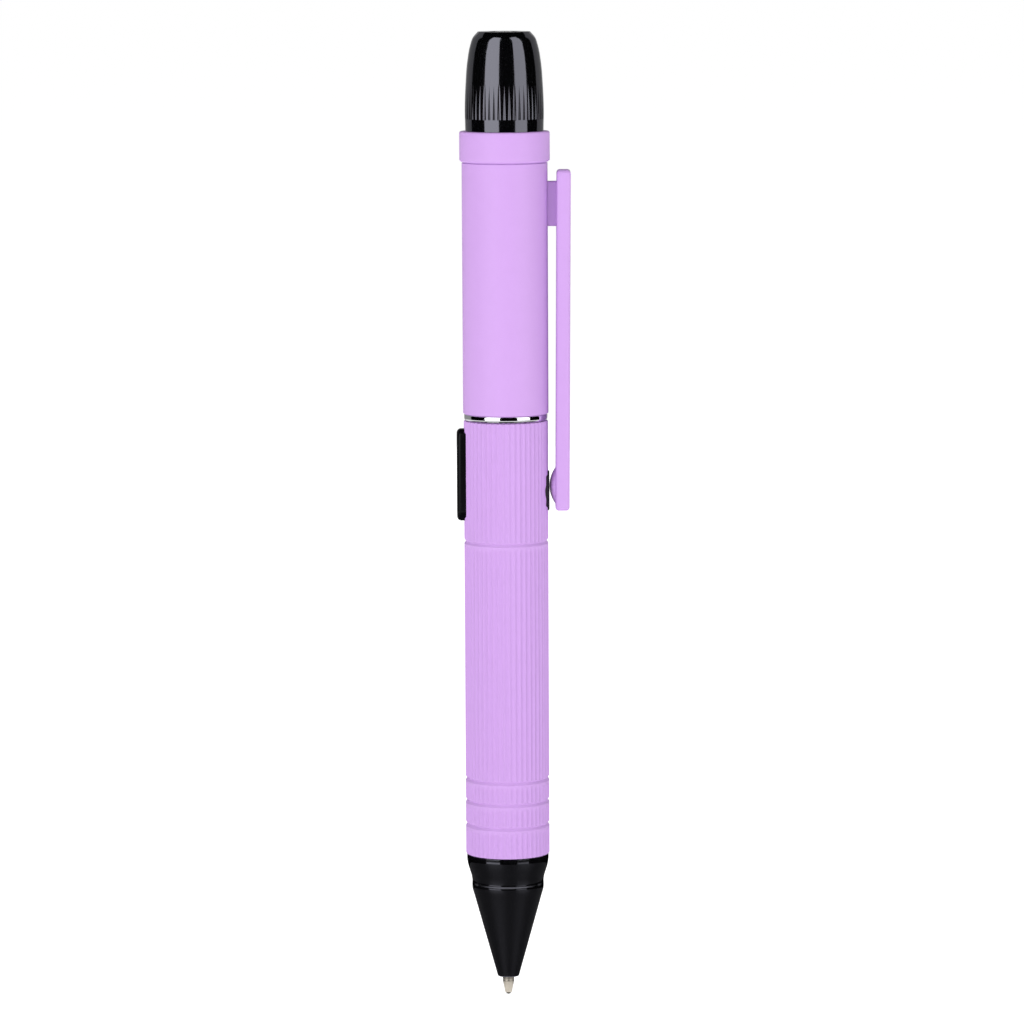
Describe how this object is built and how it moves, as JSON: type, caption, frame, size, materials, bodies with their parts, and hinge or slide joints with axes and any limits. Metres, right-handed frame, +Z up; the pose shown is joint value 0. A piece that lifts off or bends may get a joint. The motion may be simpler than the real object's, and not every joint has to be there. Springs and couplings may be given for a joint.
{
  "type": "counterfeit detector pen",
  "caption": "Slim upright ballpoint pen with fluted grip, side push button, pocket clip and an ultraviolet lamp in a ribbed black head.",
  "frame": {"origin": "lowest point of the writing ball, on the pen's axis", "axes": "+Z up the pen's axis from the writing point to the lamp, +X towards the pocket clip, -X towards the push button"},
  "size_m": [0.0177, 0.0138, 0.15],
  "materials": {
    "lavender_fluted": "satin soft-touch paint over fluted aluminium",
    "lavender_smooth": "satin soft-touch paint over smooth aluminium",
    "lavender_clip": "satin soft-touch paint over a stiff clip",
    "black_gloss": "high-gloss black lacquer over aluminium",
    "black_button": "satin black moulded plastic",
    "black_plastic": "moulded black plastic",
    "black_rubber": "soft black rubber",
    "chrome": "bright chrome plate",
    "nickel_silver": "turned nickel silver",
    "refill_metal": "drawn metal tube",
    "ball_metal": "ground carbide, wet with ink",
    "ink": "black ballpoint paste",
    "grease": "clear follower grease",
    "green_board": "glass-fibre circuit board with green mask",
    "white_board": "white-masked aluminium lamp board",
    "contact_metal": "nickel-plated contact",
    "spring_steel": "plated spring wire",
    "cell_jacket": "plain printed jacket over a steel can",
    "holder_brass": "turned brass",
    "reflector_metal": "polished reflector",
    "led_resin": "clear resin dome on a white package",
    "lens_glass": "smoky filter glass"
  },
  "bodies": {
    "barrel": {"lower_barrel": "lavender_fluted", "clip_rest_pad": "black_rubber", "chrome_ring": "chrome", "chassis": "black_plastic", "button_gasket": "black_rubber", "switch_board": "green_board", "tact_switch_body": "black_plastic", "refill_socket": "black_plastic", "refill_tube": "refill_metal", "refill_point": "nickel_silver", "ink_column": "ink", "grease_follower": "grease", "contact_disc": "contact_metal", "battery_spring": "spring_steel", "battery_cell": "cell_jacket", "battery_terminal": "contact_metal"},
    "ball": {"refill_ball": "ball_metal"},
    "button": {"side_button": "black_button", "tact_plunger": "black_plastic"},
    "nose_seal": {"nose_o_ring": "black_rubber"},
    "nose": {"nose_cone": "black_gloss"},
    "upper": {"upper_barrel": "lavender_smooth", "top_collar": "lavender_smooth"},
    "clip": {"pocket_clip": "lavender_clip"},
    "head_seal": {"head_o_ring": "black_rubber"},
    "head": {"head_shell": "black_gloss", "lens": "lens_glass", "lens_o_ring": "black_rubber", "reflector": "reflector_metal", "led": "led_resin", "led_board": "white_board", "led_holder": "holder_brass", "driver_board": "green_board", "positive_contact": "contact_metal"}
  },
  "joints": [
    {"name": "ball_roll", "type": "hinge", "parent": "barrel", "child": "ball", "pos_m": [0, 0, 0.00045], "axis": [0, 1, 0], "continuous": true},
    {"name": "button_press", "type": "slide", "parent": "barrel", "child": "button", "axis": [1, 0, 0], "range_m": [0, 0.00045], "stiffness_N_per_m": 1000},
    {"name": "nose_travel", "type": "slide", "parent": "barrel", "child": "nose_seal", "axis": [0, 0, -1], "range_m": [0, 0.006]},
    {"name": "nose_unscrew", "type": "hinge", "parent": "nose_seal", "child": "nose", "pos_m": [0, 0, 0.0235], "axis": [0, 0, -1], "range_deg": [0, 2170]},
    {"name": "upper_barrel_pull", "type": "slide", "parent": "barrel", "child": "upper", "axis": [0, 0, 1], "range_m": [0, 0.05]},
    {"name": "clip_open", "type": "hinge", "parent": "upper", "child": "clip", "pos_m": [0.0066, 0, 0.127], "axis": [0, -1, 0], "range_deg": [0, 3.5], "stiffness_Nm_per_rad": 2},
    {"name": "head_travel", "type": "slide", "parent": "upper", "child": "head_seal", "axis": [0, 0, 1], "range_m": [0, 0.005]},
    {"name": "head_unscrew", "type": "hinge", "parent": "head_seal", "child": "head", "pos_m": [0, 0, 0.132], "axis": [0, 0, 1], "range_deg": [0, 1810]}
  ],
  "couplings": [
    {"joint": "nose_unscrew", "follows": "nose_travel", "rad_per_m": 6283.2},
    {"joint": "head_unscrew", "follows": "head_travel", "rad_per_m": 6283.2}
  ]
}
